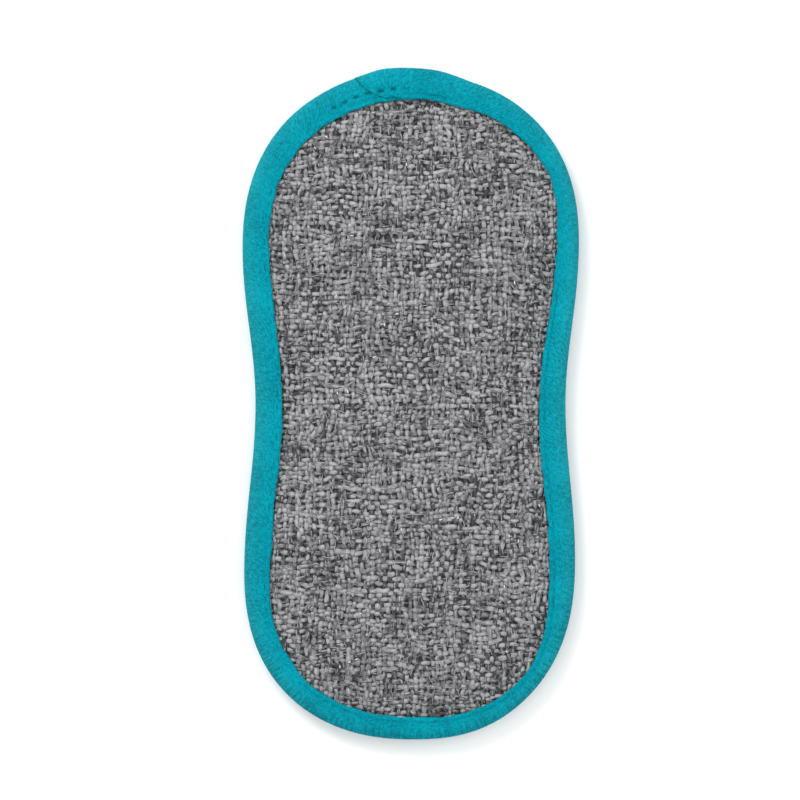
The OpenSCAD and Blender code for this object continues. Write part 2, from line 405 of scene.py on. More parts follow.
def piece(name, points, faces, uv=None, values=None):
    """A mesh piece from points in millimetres and faces as an array or a list of arrays."""
    mesh = bpy.data.meshes.new(name)
    groups = faces if isinstance(faces, list) else [faces]
    groups = [np.asarray(g, np.int32) for g in groups if len(g)]
    loops = np.concatenate([g.ravel() for g in groups])
    sizes = np.concatenate([np.full(len(g), g.shape[1], np.int32) for g in groups])
    starts = np.concatenate([[0], np.cumsum(sizes)[:-1]])
    mesh.vertices.add(len(points))
    mesh.vertices.foreach_set("co", (np.asarray(points, np.float32) * MM).ravel())
    mesh.loops.add(len(loops))
    mesh.loops.foreach_set("vertex_index", loops)
    mesh.polygons.add(len(sizes))
    mesh.polygons.foreach_set("loop_start", starts.astype(np.int32))
    mesh.update(calc_edges=True)
    mesh.validate()
    mesh.polygons.foreach_set("use_smooth", np.ones(len(mesh.polygons), bool))
    if uv is not None:
        layer = mesh.uv_layers.new(name="Thread")
        layer.uv.foreach_set("vector", np.asarray(uv, np.float32)[loops].ravel())
    for key, value in (values or {}).items():
        layer = mesh.attributes.new(key, "FLOAT", "POINT")
        layer.data.foreach_set("value", np.asarray(value, np.float32).ravel())
    return placed(name, mesh)


def ring_quads(count, sides, first=0):
    """Quads between count closed rings of points, each from one ring to the next."""
    i = np.arange(count - 1)[:, None] * sides
    j = np.arange(sides)[None, :]
    a, b = i + j, i + (j + 1) % sides
    return np.stack([a, b, b + sides, a + sides], -1).reshape(-1, 4) + first


class Tubes:
    """Many closed tubes gathered into one mesh, each point with a tone."""

    def __init__(self, sides):
        self.sides = sides
        self.angle = np.arange(sides) / sides * 2 * np.pi + np.pi / 2
        self.points, self.tones, self.quads, self.caps, self.first = [], [], [], [], 0

    def add(self, centre, half_width, half_height, tone):
        """A tube along centre, which has a row for each ring, flattened between floor and sky."""
        n, way = len(centre), np.gradient(centre[:, :2], axis=0)
        way /= np.maximum(np.linalg.norm(way, axis=1, keepdims=True), 1e-6)
        left = np.stack([-way[:, 1], way[:, 0]], 1)
        ring = np.repeat(centre[:, None, :], self.sides, axis=1)
        ring[..., :2] += left[:, None, :] * (half_width[:, None] * np.cos(self.angle))[..., None]
        ring[..., 2] += half_height[:, None] * np.sin(self.angle)
        self.points.append(ring.reshape(-1, 3))
        self.tones.append(np.clip(tone, 0, 1).ravel())
        self.quads.append(ring_quads(n, self.sides, self.first))
        end = np.arange(self.sides) + self.first
        self.caps += [end[::-1], end + (n - 1) * self.sides]
        self.first += n * self.sides

    def piece(self, name, shift):
        """All the tubes as one piece, moved by shift."""
        points = np.concatenate(self.points)
        points[:, :2] += shift
        faces = [np.concatenate(self.quads), np.array(self.caps)]
        return piece(name, points, faces, values={"tone": np.concatenate(self.tones)})


def finish_piece(made, material, slot, *nodes):
    """Gives a piece its material and hides the solids that it is shown for. The slot is not used."""
    made.data.materials.append(material)
    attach(made, "root")
    if nodes:
        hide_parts(*nodes)
    return made


# Shader groups and materials


class Nodes:
    """Short hands for a node tree."""

    def __init__(self, tree):
        self.tree = tree
        tree.nodes.clear()

    def add(self, kind, inputs=None, **settings):
        """A node with its settings, its inputs linked or set."""
        node = self.tree.nodes.new(kind)
        for key, value in settings.items():
            setattr(node, key, value)
        for key, value in (inputs or {}).items():
            if hasattr(value, "links"):
                self.link(value, node.inputs[key])
            else:
                node.inputs[key].default_value = value
        return node

    def link(self, a, b):
        self.tree.links.new(a, b)

    def math(self, operation, values, clamp):
        """A node that reckons with sockets and numbers."""
        inputs = dict(enumerate(values))
        return self.add("ShaderNodeMath", inputs, operation=operation, use_clamp=clamp).outputs[0]

    def times(self, *values, clamp=False):
        return self.math("MULTIPLY", values, clamp)

    def plus(self, *values, clamp=False):
        return self.math("ADD", values, clamp)

    def less(self, *values, clamp=False):
        return self.math("SUBTRACT", values, clamp)

    def blend(self, factor, a, b):
        """From colour a to colour b, by a factor."""
        return self.add("ShaderNodeMix", {0: factor, 6: a, 7: b}, data_type="RGBA").outputs[2]

    def value(self, name):
        """What the piece carries under a name, point by point."""
        return self.add("ShaderNodeAttribute", attribute_name=name).outputs["Fac"]

    def noise(self, vector, scale, **inputs):
        """Noise of a scale at a place, about 0 to 1."""
        inputs = {"Vector": vector, "Scale": scale, **inputs}
        return self.add("ShaderNodeTexNoise", inputs).outputs["Fac"]

    def drawn_noise(self, vector, draw, scale, detail):
        """Noise that is drawn out along the ways where draw is small."""
        drawn = self.add("ShaderNodeVectorMath", {0: vector, 1: draw}, operation="MULTIPLY")
        return self.noise(drawn.outputs[0], scale, Detail=detail)

    def surface(self, shader, base, roughness, gloss=0.5):
        """A shader's colour, and how dull and how glossy it is."""
        self.link(base, shader.inputs["Base Color"])
        shader.inputs["Roughness"].default_value = roughness
        shader.inputs["Specular IOR Level"].default_value = gloss

    def bump(self, shader, height, strength, distance):
        """Shades the surface by a height."""
        inputs = {"Strength": strength, "Distance": distance, "Height": height}
        self.link(self.add("ShaderNodeBump", inputs).outputs[0], shader.inputs["Normal"])


def group(name, inputs, outputs):
    """An empty shader group with these sockets, or the one made before, and whether it is new."""
    tree = bpy.data.node_groups.get(name)
    if tree is not None:
        return tree, False
    tree = bpy.data.node_groups.new(name, "ShaderNodeTree")
    for key, kind, default in inputs:
        socket = tree.interface.new_socket(key, in_out="INPUT", socket_type=kind)
        if default is not None:
            socket.default_value = default
    for key, kind in outputs:
        tree.interface.new_socket(key, in_out="OUTPUT", socket_type=kind)
    return tree, True


def fibre_group():
    """Fine matted fibre: a mask of light and dark hairs, and their height."""
    tree, new = group(
        "Fibre",
        [("Scale", "NodeSocketFloat", 2600.0), ("Stretch", "NodeSocketFloat", 1.0)],
        [("Mask", "NodeSocketFloat"), ("Height", "NodeSocketFloat")],
    )
    if not new:
        return tree
    n = Nodes(tree)
    given, out = n.add("NodeGroupInput"), n.add("NodeGroupOutput")
    place = n.add("ShaderNodeTexCoord").outputs["Object"]
    fine = n.noise(place, given.outputs["Scale"], Detail=3.0, Roughness=0.6)
    slow = n.noise(place, n.times(given.outputs["Scale"], 0.22), Detail=2.0)
    n.link(n.less(n.times(fine, 2.2), 0.6, clamp=True), out.inputs["Mask"])
    n.link(n.plus(fine, n.times(slow, given.outputs["Stretch"])), out.inputs["Height"])
    return tree


def place_fibre(n, scale, stretch):
    """The fibre group in a tree, as its mask and its height."""
    node = n.add("ShaderNodeGroup", {"Scale": scale, "Stretch": stretch}, node_tree=fibre_group())
    return node.outputs["Mask"], node.outputs["Height"]


def material(name):
    """A new material with its tree and its shader."""
    made = bpy.data.materials.new(name)
    made.use_nodes = True
    n = Nodes(made.node_tree)
    out = n.add("ShaderNodeOutputMaterial")
    shader = n.add("ShaderNodeBsdfPrincipled")
    n.link(shader.outputs[0], out.inputs[0])
    return made, n, shader


def strand_group():
    """Fibres lying along one way: noise drawn out along it, as a soft mask and as single pale threads."""
    tree, new = group(
        "Strands",
        [("Draw", "NodeSocketVector", (1.0, 0.2, 1.0)), ("Scale", "NodeSocketFloat", 2200.0)],
        [("Mask", "NodeSocketFloat"), ("Pale", "NodeSocketFloat")],
    )
    if not new:
        return tree
    n = Nodes(tree)
    given, out = n.add("NodeGroupInput"), n.add("NodeGroupOutput")
    place = n.add("ShaderNodeTexCoord").outputs["Object"]
    noise = n.drawn_noise(place, given.outputs["Draw"], given.outputs["Scale"], 2.0)
    n.link(n.less(n.times(noise, 2.4), 0.7, clamp=True), out.inputs["Mask"])
    n.link(n.times(n.less(noise, 0.54), 9.0, clamp=True), out.inputs["Pale"])
    return tree


def yarn_material(settings, name, kind):
    """Marled fibre: the tone that each yarn carries, streaked by its fibres."""
    made, n, shader = material(name)
    draw = (1.0, 0.16, 1.0) if kind == "warp" else (0.16, 1.0, 1.0)
    drawn = n.add("ShaderNodeGroup", {"Draw": draw}, node_tree=strand_group())
    strands, pale = drawn.outputs["Mask"], drawn.outputs["Pale"]
    fibres, height = place_fibre(n, 2300.0, 0.8)
    body = n.plus(n.value("tone"), n.times(n.less(fibres, 0.5), 0.16), clamp=True)
    to_pale = n.times(n.less(1.0, body), n.times(pale, 0.85))
    lines = n.times(body, n.less(n.times(strands, 0.56), 0.24))
    amount = n.plus(n.plus(body, to_pale), n.less(lines, 0.11), clamp=True)
    n.surface(shader, n.blend(amount, tuple(settings.dark), tuple(settings.light)), 0.7, 0.35)
    n.bump(shader, n.plus(height, n.times(strands, 0.8)), 0.55, 0.00012)
    return made


def filament_material(settings):
    """Glossy pale filament, some of them duller."""
    made, n, shader = material("pale_filament")
    n.surface(shader, n.blend(n.value("tone"), tuple(settings.dark), tuple(settings.filament)), 0.32)
    return made


def scaled(base, factor):
    """A colour made darker or lighter."""
    return tuple(min(c * factor, 1.0) for c in base[:3]) + (1.0,)


def plain_fibre_material(name, base, scale, depth, spread=0.25, roughness=0.85, gloss=0.12):
    """One colour of fibre, shaded by its hairs."""
    made, n, shader = material(name)
    fibres, height = place_fibre(n, scale, 1.2)
    shaded = n.blend(fibres, scaled(base, 1 - spread), scaled(base, 1 + spread))
    n.surface(shader, shaded, roughness, gloss)
    n.bump(shader, height, 0.7, depth)
    return made


# The noises in the tape's shade: whether slanted as its twill is, how far drawn out, and how fine
TAPE_NOISES = {
    "threads": (False, (0.22, 1.0, 1.0), 3100.0),
    "ribs": (False, (1.0, 0.25, 1.0), 2300.0),
    "twill": (True, (1.0, 0.34, 1.0), 2400.0),
    "worn": (False, (0.7, 0.7, 1.0), 130.0),
    "zone": (False, (1.0, 0.4, 1.0), 48.0),
    "bars": (False, (1.0, 0.13, 1.0), 1250.0),
}


def tape_material(settings):
    """Fine knitted tape: threads along it, short ribs over its roll, and painted shade in its crease, in its
    stitch dimples, beside the lap's visible end and over the lower end.
    """
    made, n, shader = material("teal_tape")
    along = n.add("ShaderNodeUVMap", uv_map="Thread").outputs[0]
    turn = {"Vector": along, "Angle": -math.pi / 4}
    aslant = n.add("ShaderNodeVectorRotate", turn, rotation_type="Z_AXIS").outputs[0]
    # the painted shade of the crease, the seam and the lap's end, and the lower end's ribs with their painted
    # shade
    roll, painted_shade, barred_and_shaded = (n.value(name) for name in ("roll", "painted_shade", "barred_and_shaded"))
    part = {
        name: n.less(n.drawn_noise(aslant if slanted else along, draw, scale, 1.0), 0.5)
        for name, (slanted, draw, scale) in TAPE_NOISES.items()
    }
    fibres, height = place_fibre(n, 2700.0, 0.6)
    # the twill shows in zones, but not where bars cross the roll
    bias = n.plus(n.times(part["zone"], 5.0), 0.55, clamp=True)
    bias = n.times(bias, n.less(1.0, n.times(barred_and_shaded, 0.8)))
    straight = n.less(1.0, n.times(bias, 0.65))
    threads = n.times(part["threads"], n.less(1.9, n.times(roll, 1.1)))
    ribs = n.times(part["ribs"], n.plus(0.8, n.times(roll, 1.3)))
    knit = n.times(n.plus(threads, ribs), straight)
    knit = n.plus(knit, n.times(part["twill"], n.plus(0.5, n.times(bias, 1.7))))
    knit = n.plus(knit, n.times(part["bars"], n.times(barred_and_shaded, 2.4)))
    fleck = n.times(n.less(fibres, 0.5), 0.52)
    # painted shade: the lower end is darker, as if turned from the light, where its ribs cross the roll
    plain = n.less(0.5, n.times(barred_and_shaded, 0.20))
    uneven = n.plus(n.times(part["worn"], 0.8), plain)
    shade = n.plus(n.plus(knit, fleck), uneven, clamp=True)
    bases = (settings.colour, settings.worn_colour)
    fresh, rubbed = (n.blend(shade, scaled(base, 0.66), scaled(base, 1.36)) for base in bases)
    cloth = n.blend(roll, fresh, rubbed)
    # painted shade in the crease, in the stitch dimples and beside the lap's visible end
    with_painted_shade = n.blend(n.times(painted_shade, 0.95), cloth, scaled(settings.colour, 0.24))
    n.surface(shader, with_painted_shade, 0.8, 0.03)
    n.bump(shader, n.plus(n.times(knit, 0.9), height), 0.8, 0.00014)
    return made


def foam_material(settings):
    """Open-cell foam, its pores painted darker as shade in their holes."""
    made, n, shader = material("open_cell_foam")
    place = n.add("ShaderNodeTexCoord").outputs["Object"]
    cells = n.add("ShaderNodeTexVoronoi", {"Vector": place, "Scale": 1100.0}).outputs["Distance"]
    # painted shade: the middle of each cell darker than its walls
    rim = n.times(cells, 1.6, clamp=True)
    n.surface(shader, n.blend(rim, scaled(settings.colour, 0.55), tuple(settings.colour)), 0.95)
    n.bump(shader, cells, 0.8, 0.0003)
    return made


# The foam core, swollen under its covers


# The skin of the foam, as a cloth that its pressure swells
FOAM_SKIN = {
    "quality": 5,
    "mass": 0.15,
    "tension_stiffness": 12,
    "compression_stiffness": 12,
    "shear_stiffness": 6,
    "bending_stiffness": 0.4,
    "vertex_group_mass": "held",
    "pin_stiffness": 1.0,
    "use_pressure": True,
    "shrink_min": -0.035,
}


def run_cloth(made, held, settings):
    """Runs the cloth over the core and returns where its points go."""
    group_held = made.vertex_groups.new(name="held")
    for k, weight in enumerate(held):
        if weight > 0:
            group_held.add([k], float(weight), "REPLACE")
    cloth = made.modifiers.new("Swell", "CLOTH")
    for key, value in FOAM_SKIN.items():
        setattr(cloth.settings, key, value)
    cloth.settings.uniform_pressure_force = settings.pressure
    cloth.settings.effector_weights.gravity = 0
    cloth.point_cache.frame_start = 1
    cloth.point_cache.frame_end = settings.frames
    for frame_number in range(1, settings.frames + 1):
        bpy.context.scene.frame_set(frame_number)
    depsgraph = bpy.context.evaluated_depsgraph_get()
    result = made.evaluated_get(depsgraph).to_mesh()
    points = np.empty(len(result.vertices) * 3, np.float32)
    result.vertices.foreach_get("co", points)
    made.evaluated_get(depsgraph).to_mesh_clear()
    made.modifiers.remove(cloth)
    made.vertex_groups.clear()
    bpy.context.scene.frame_set(1)
    return points.reshape(-1, 3) / MM


def subdivide(made):
    """Adds one subdivision and applies it."""
    step = made.modifiers.new("Smooth", "SUBSURF")
    step.levels = step.render_levels = 1
    depsgraph = bpy.context.evaluated_depsgraph_get()
    mesh = bpy.data.meshes.new_from_object(made.evaluated_get(depsgraph))
    made.modifiers.clear()
    made.data = mesh


# Half the breadth and length of a field that holds the whole pad, in millimetres
FIELD = (50, 98)
# Outline to the cut edges of the foam and the cloths, and to the cut ends of the yarns, in millimetres
FOAM_INSET, CLOTH_INSET, YARN_INSET = 2.6, 2.7, 4.4


class Cover:
    """How far the swollen core lifts the face above its plain shape, anywhere on the pad."""

    step = 1.5
    # the tape holds the core down to this depth, and lets it go over the next few millimetres
    held_to, let_go = 6.5, 5.0

    def __init__(self):
        self.x, self.y = (np.arange(-half, half + 0.01, self.step) for half in FIELD)
        self.lift = np.zeros((len(self.y), len(self.x)))

    def take(self, tree, plain, outline):
        """Measures the top of the core in tree against its plain height at each depth."""
        gx, gy = np.meshgrid(self.x, self.y)
        depth = outline.depth(np.stack([gx.ravel(), gy.ravel()], 1)).reshape(gx.shape)
        found = np.zeros(gx.shape)
        for k in map(tuple, np.argwhere(depth > self.held_to - 0.5)):
            hit = tree.ray_cast(Vector((gx[k], gy[k], 30.0)), Vector((0, 0, -1)))
            if hit[0] is not None:
                found[k] = hit[0].z - plain(depth[k])
        for _ in range(2):
            wide = np.pad(found, 1, mode="edge")
            beside = wide[:-2, 1:-1] + wide[2:, 1:-1] + wide[1:-1, :-2] + wide[1:-1, 2:]
            found = 0.5 * found + 0.125 * beside
        self.lift = found * np.clip((depth - self.held_to) / self.let_go, 0, 1)

    def __call__(self, x, y):
        g = self.lift
        u = np.clip((np.asarray(x) - self.x[0]) / self.step, 0, len(self.x) - 1.001)
        v = np.clip((np.asarray(y) - self.y[0]) / self.step, 0, len(self.y) - 1.001)
        i, j = v.astype(int), u.astype(int)
        a, b = v - i, u - j
        return mix(mix(g[i, j], g[i + 1, j], a), mix(g[i, j + 1], g[i + 1, j + 1], a), b)


def ray_rings(outline, inset, count, steps, last=0.94):
    """Points from the inset outline towards the middle line, ring by ring."""
    s = np.arange(count) / count * outline.per
    start = outline.inset(s, np.full(count, inset))
    goal = np.stack([np.zeros(count), np.clip(start[:, 1], outline.low, outline.up)], 1)
    t = np.linspace(0, last, steps)[:, None, None]
    return start[None] * (1 - t) + goal[None] * t


def skin_quads(count, steps, first=0, flip=False):
    """Faces of ray_rings, closed by a ladder across the middle line. They face up unless flipped."""
    quads = ring_quads(steps, count)
    inner = (steps - 1) * count
    far = inner + count // 2
    k = np.arange(1, count // 2 - 1)
    ladder = np.stack([inner + k, inner + k + 1, inner + count - k - 1, inner + count - k], 1)
    ends = np.array([[inner, inner + 1, inner + count - 1], [far - 1, far, far + 1]])
    quads, ends = np.concatenate([quads, ladder]) + first, ends + first
    return (quads[:, ::-1], ends[:, ::-1]) if flip else (quads, ends)


def cloth_area(outline):
    """What such a cloth measures, in square metres."""
    step = 0.5
    across, along = (np.arange(-half, half, step) for half in FIELD)
    grid = np.stack(np.meshgrid(across, along), -1).reshape(-1, 2)
    return float((outline.depth(grid) > CLOTH_INSET).sum()) * (step * MM) ** 2


def wall_quads(count, upper, lower):
    """The wall between the outer rings of an upper and a lower skin."""
    j = np.arange(count)
    k = (j + 1) % count
    return np.stack([upper + j, lower + j, lower + k, upper + k], 1)


def closed_skins(name, outline, inset, count, steps, top, low):
    """A closed piece between two heights, which take x, y and depth, with so many steps above and below."""
    over, under = (ray_rings(outline, inset, count, rings).reshape(-1, 2) for rings in steps)
    depth = outline.depth(np.concatenate([over, under]))
    n = len(over)
    upper = np.column_stack([over, top(*over.T, depth[:n])])
    lower = np.column_stack([under, low(*under.T, depth[n:])])
    q1, t1 = skin_quads(count, steps[0])
    q2, t2 = skin_quads(count, steps[1], n, True)
    quads = np.concatenate([q1, q2, wall_quads(count, 0, n)])
    points = np.concatenate([upper, lower])
    points[:, :2] += outline.shift
    return piece(name, points, [quads, np.concatenate([t1, t2])]), depth


# What the makers share, emptied whenever the foam is made
BUILT = {}


def once(key, make, *values):
    """What make returns for these values, made the first time only."""
    if key not in BUILT:
        BUILT[key] = make(*values)
    return BUILT[key]


def plan(context):
    """The outline, levels and cover, which all makers share."""
    shape, tape = context.scene.pad_shape, context.scene.pad_tape
    return once("outline", Outline, shape), once("levels", Levels, shape, tape), once("cover", Cover)


class PAD_OT_foam(bpy.types.Operator):
    """Makes the foam core and lets it swell under its covers"""

    bl_idname = "pad.foam"
    bl_label = "Foam core"

    def execute(self, context):
        # the pad starts afresh, with its sizes as they are now
        BUILT.clear()
        outline, levels, cover = plan(context)
        foam = context.scene.pad_foam

        def top(x, y, d):
            return levels.foam_top(d)

        def low(x, y, d):
            return levels.foam_low(d)

        made, depth = closed_skins("foam_slab", outline, FOAM_INSET, 128, (14, 14), top, low)
        self.swell(made, depth, foam, outline, levels, cover)
        finish_piece(made, foam_material(foam), "foam", "foam_core")
        return {"FINISHED"}

    def swell(self, made, depth, foam, outline, levels, cover):
        """Lets the slab swell, no point further than the cap, and shows the cover its new top."""
        count = len(made.data.vertices)
        start = np.empty(count * 3, np.float32)
        made.data.vertices.foreach_get("co", start)
        start = start.reshape(-1, 3) / MM
        under = slice(count // 2, count)
        # the tape holds the slab down to this depth, and lets it go over the next few millimetres
        held_to, let_go = 7.5, 4.5
        held = np.clip(1 - (depth - held_to) / let_go, 0, 1)
        # the floor holds the flat place of the underside nearly as well
        on_floor = start[under, 2] < levels.back + levels.gap + 0.4
        held[under] = np.maximum(held[under], on_floor * 0.9)
        moved = run_cloth(made, held, foam) - start
        far = np.linalg.norm(moved, axis=1)
        cap = foam.cap / MM
        moved *= (cap * np.tanh(far / cap) / np.maximum(far, 1e-6))[:, None]
        moved[under, 2] = np.maximum(moved[under, 2], 0.0) * (depth[under] < levels.run)
        points = start + moved
        made.data.vertices.foreach_set("co", (points * MM).astype(np.float32).ravel())
        made.data.update()
        points[:, :2] -= outline.shift
        polygons = [tuple(p.vertices) for p in made.data.polygons]
        tree = BVHTree.FromPolygons([Vector(p) for p in points], polygons)
        cover.take(tree, levels.foam_top, outline)
        print("swell mm", np.percentile(moved[: count // 2, 2], [1, 25, 50, 75, 99]).round(2).tolist())
        subdivide(made)


# The woven scouring face


def inside_runs(inside):
    """Start and end of each stretch inside that is more than five points long."""
    edges = np.flatnonzero(np.diff(np.concatenate([[0], inside.astype(int), [0]])))
    return [(a, b) for a, b in zip(edges[::2], edges[1::2]) if b - a > 5]


class PlainWeave:
    """Warp lines along Y and weft lines along X, each straying from its place, and what lies on top where."""

    def __init__(self, weave, rng):
        pitch = self.pitch = weave.pitch / MM
        self.step = pitch / 4.2
        # yarns on each side of the middle one, and places along a yarn
        self.count = {"warp": int(44 / pitch), "weft": int(95 / pitch)}
        self.along = {"warp": np.arange(-96, 96, self.step), "weft": np.arange(-48, 48, self.step)}
        self.other = {"warp": "weft", "weft": "warp"}
        # what neighbours stray by together
        shared = {"warp": Patches(rng, 7, 26), "weft": Patches(rng, 7, 26)}
        wander = weave.wander / MM
        self.lines = {}
        for kind, s in self.along.items():
            lines = []
            for i in range(-self.count[kind], self.count[kind] + 1):
                place = i * pitch + rng.normal(0, 0.35 * wander) + wander * drift(rng, s, 3.2)
                place += 0.45 * wander * drift(rng, s, 1.5)
                x, y = (i * pitch, s) if kind == "warp" else (s, i * pitch)
                lines.append(place + 1.3 * wander * shared[kind](x + 0 * s, y + 0 * s))
            self.lines[kind] = np.array(lines)
        cells = np.add.outer(np.arange(2 * self.count["warp"] + 1), np.arange(2 * self.count["weft"] + 1))
        # 1 where the warp is on top
        self.over = np.where(cells % 2 == 0, 1.0, -1.0)
        self.over = np.where(rng.random(self.over.shape) < weave.skips, -self.over, self.over)
        self.lead = Patches(rng, 12, 40)

    def rise(self, kind, i):
        """From -1 under to 1 over along yarn i."""
        s, other = self.along[kind], self.other[kind]
        across = self.along[other]
        here = int(np.clip((i * self.pitch - across[0]) / self.step, 0, len(across) - 1))
        knots = np.maximum.accumulate(self.lines[other][:, here])
        n = self.count[kind] + i
        row = self.over[n, :] if kind == "warp" else -self.over[:, n]
        k = np.clip(np.searchsorted(knots, s) - 1, 0, len(knots) - 2)
        t = ease(((s - knots[k]) / np.maximum(knots[k + 1] - knots[k], 0.2) - 0.10) / 0.80)
        return row[k] * (1 - t) + row[k + 1] * t


# Loose filaments: how far inside the outline they start, the length of a step, and how often one glints
STRAY_INSET, STRAY_STEP, GLINT_EVERY = 8.3, 0.26, 22


class PAD_OT_face(bpy.types.Operator):
    """Weaves the scouring face from its yarns over a matted ground, whose dark colour is also painted shade
    in the gaps between the yarns
    """

    bl_idname = "pad.face"
    bl_label = "Scouring face"

    def execute(self, context):
        outline, levels, cover = plan(context)
        weave = context.scene.pad_weave
        rng = np.random.default_rng(weave.seed)

        def low(x, y, d):
            return levels.woven(d) - levels.face + cover(x, y)

        def top(x, y, d):
            return low(x, y, d) + 0.45

        ground, _ = closed_skins("face_ground", outline, CLOTH_INSET, 220, (26, 12), top, low)
        # under the yarns a matted ground, its dark colour partly painted shade in their gaps
        ground_look_and_gap_shade = plain_fibre_material("ground_fibre_and_gap_shade", weave.ground, 1500.0, 0.0003, 0.5)
        finish_piece(ground, ground_look_and_gap_shade, "scouring_weave", "scouring_face")
        plain = PlainWeave(weave, rng)
        yarns = [
            self.yarns(outline, levels, cover, weave, rng, plain, kind, part)
            for kind in ("warp", "weft")
            for part in (0, 1)
        ]
        strays = self.strays(outline, levels, cover, weave, rng)
        cloth_area(outline)
        return {"FINISHED"}

    def yarns(self, outline, levels, cover, weave, rng, plain, kind, part):
        """Every second yarn of one family, as tubes that carry their own tone."""
        width, thick, rise = weave.yarn_width / MM, weave.yarn_height / MM, weave.rise / MM
        cloudy, streaky = Patches(rng, 9, 34), Patches(rng, 3.5, 8)
        tubes = Tubes(5)
        s = plain.along[kind]
        for i in range(-plain.count[kind] + part, plain.count[kind] + 1, 2):
            line = plain.lines[kind][plain.count[kind] + i]
            up = plain.rise(kind, i)
            xy = np.stack([line, s] if kind == "warp" else [s, line], 1)
            x, y = xy.T
            depth = outline.depth(xy)
            slub = 1 + 0.17 * drift(rng, s, 5.0) + 0.18 * drift(rng, s, 1.3)
            z = levels.woven(depth) + cover(x, y) - rise - thick * 0.5 + rise * up
            z += 0.07 * drift(rng, s, 1.3)
            # where the warp is pale the weft is dark
            lead = (0.24 * plain.lead(x, y) - 0.06) * (1 if kind == "warp" else -1)
            # painted shade: a yarn is a little darker where it dips under its neighbour and lighter where it
            # rides over it
            tone = 0.46 + 0.05 * rng.normal() + 0.05 * up + lead
            tone = tone + 0.33 * cloudy(x, y) + 0.18 * streaky(x, y)
            tone += 0.18 * drift(rng, s, 1.4) + 0.15 * drift(rng, s, 0.7)
            # two plies wind round each other, and each side of the yarn has its own streaks
            twist = 2 * np.pi * s / rng.uniform(2.9, 3.9) + rng.uniform(0, 2 * np.pi)
            streaks = np.stack([drift(rng, s, 0.95) for _ in range(tubes.sides)], 1)
            tone = tone[:, None] + 0.18 * np.sin(twist[:, None] + tubes.angle) + 0.31 * streaks
            centre = np.column_stack([xy, z])
            for a, b in inside_runs(depth > YARN_INSET):
                cut = slice(a, b)
                half_width = 0.5 * width * slub[cut] * (0.90 + 0.10 * up[cut])
                tubes.add(centre[cut], half_width, 0.5 * thick * (0.8 + 0.2 * slub[cut]), tone[cut])
        made = tubes.piece(f"{kind}_yarns_{part + 1}", outline.shift)
        marled = once(kind, yarn_material, weave, f"marled_{kind}", kind)
        return finish_piece(made, marled, "scouring_weave")

    def strays(self, outline, levels, cover, weave, rng):
        """Pale filaments that have worked loose and curl over the yarns, a few of them short and bright."""
        tubes = Tubes(4)
        for k in range(weave.strays):
            at = np.array([rng.uniform(-44, 44), rng.uniform(-91, 91)])
            if outline.depth(at[None])[0] < STRAY_INSET:
                continue
            glint = k % GLINT_EVERY == 0
            n = 5 if glint else int(rng.integers(6, 13))
            # each starts along a yarn and turns a little at every step
            turn = rng.integers(0, 4) * np.pi / 2 + rng.normal(0, 0.20)
            turn = turn + np.cumsum(rng.normal(0, 0.12, n))
            line = at + np.cumsum(np.stack([np.cos(turn), np.sin(turn)], 1) * STRAY_STEP, 0)
            arch = np.sin(np.linspace(0, np.pi, n))
            z = levels.woven(outline.depth(line)) + cover(*line.T)
            z += rng.uniform(-0.10, 0.06) + 0.10 * arch * rng.random()
            z[[0, -1]] -= 0.30
            radius = (0.16 if glint else rng.uniform(0.09, 0.14)) * (0.6 + 0.4 * arch)
            tone = 1.0 if glint else rng.uniform(0.25, 0.52)
            tubes.add(np.column_stack([line, z]), radius, radius, np.full((n, tubes.sides), tone))
        made = tubes.piece("stray_filaments", outline.shift)
        return finish_piece(made, filament_material(weave), "scouring_weave")


# The back cloth


class PAD_OT_back(bpy.types.Operator):
    """Makes the back cloth with its short pile"""

    bl_idname = "pad.back"
    bl_label = "Back cloth"

    def execute(self, context):
        outline, levels, _ = plan(context)
        back = context.scene.pad_back
        rng = np.random.default_rng(back.seed)
        tufts, lumps = Patches(rng, 1.6, 2.6, 26), Patches(rng, 4.0, 9.0, 12)
        pile = back.pile / MM

        def top(x, y, d):
            return levels.low(d) + levels.back

        def low(x, y, d):
            rough = 0.5 + 0.5 * np.clip(0.8 * tufts(x, y) + 0.3 * lumps(x, y), -1, 1)
            return levels.low(d) + pile * rough * np.clip((d - 6.0) / 3.0, 0, 1) * 0.8

        made, _ = closed_skins("pile_cloth", outline, CLOTH_INSET, 640, (6, 66), top, low)
        microfibre = plain_fibre_material("microfibre_pile", back.colour, 1700.0, 0.0004, 0.28, 0.95)
        finish_piece(made, microfibre, "microfibre", "back_cloth")
        cloth_area(outline)
        return {"FINISHED"}


# The binding tape and its stitches


# Where the tape was sewn wider or narrower: millimetres from the upper end, spread and change
SEWN_PLACES = (
    (28, 24, 1.15),
    (-16, 9, 0.90),
    (120, 95, 0.50),
    (-57, 14, -1.50),
    (-82, 20, -0.65),
    (-145, 45, 0.50),
    (-205, 22, -2.10),
    (233, 41, -0.60),
)


# What is uneven along the tape, with the place of its random numbers among the fold's seeds
WAVERS = {"width": 0, "tucks_above": 1, "tucks_below": 2, "pull": 5, "margin": 6, "crease": 7}


def between(value, low, high, blur):
    """1 between two values and 0 outside, with soft ends."""
    return ease((value - low) / blur) * ease((high - value) / blur)


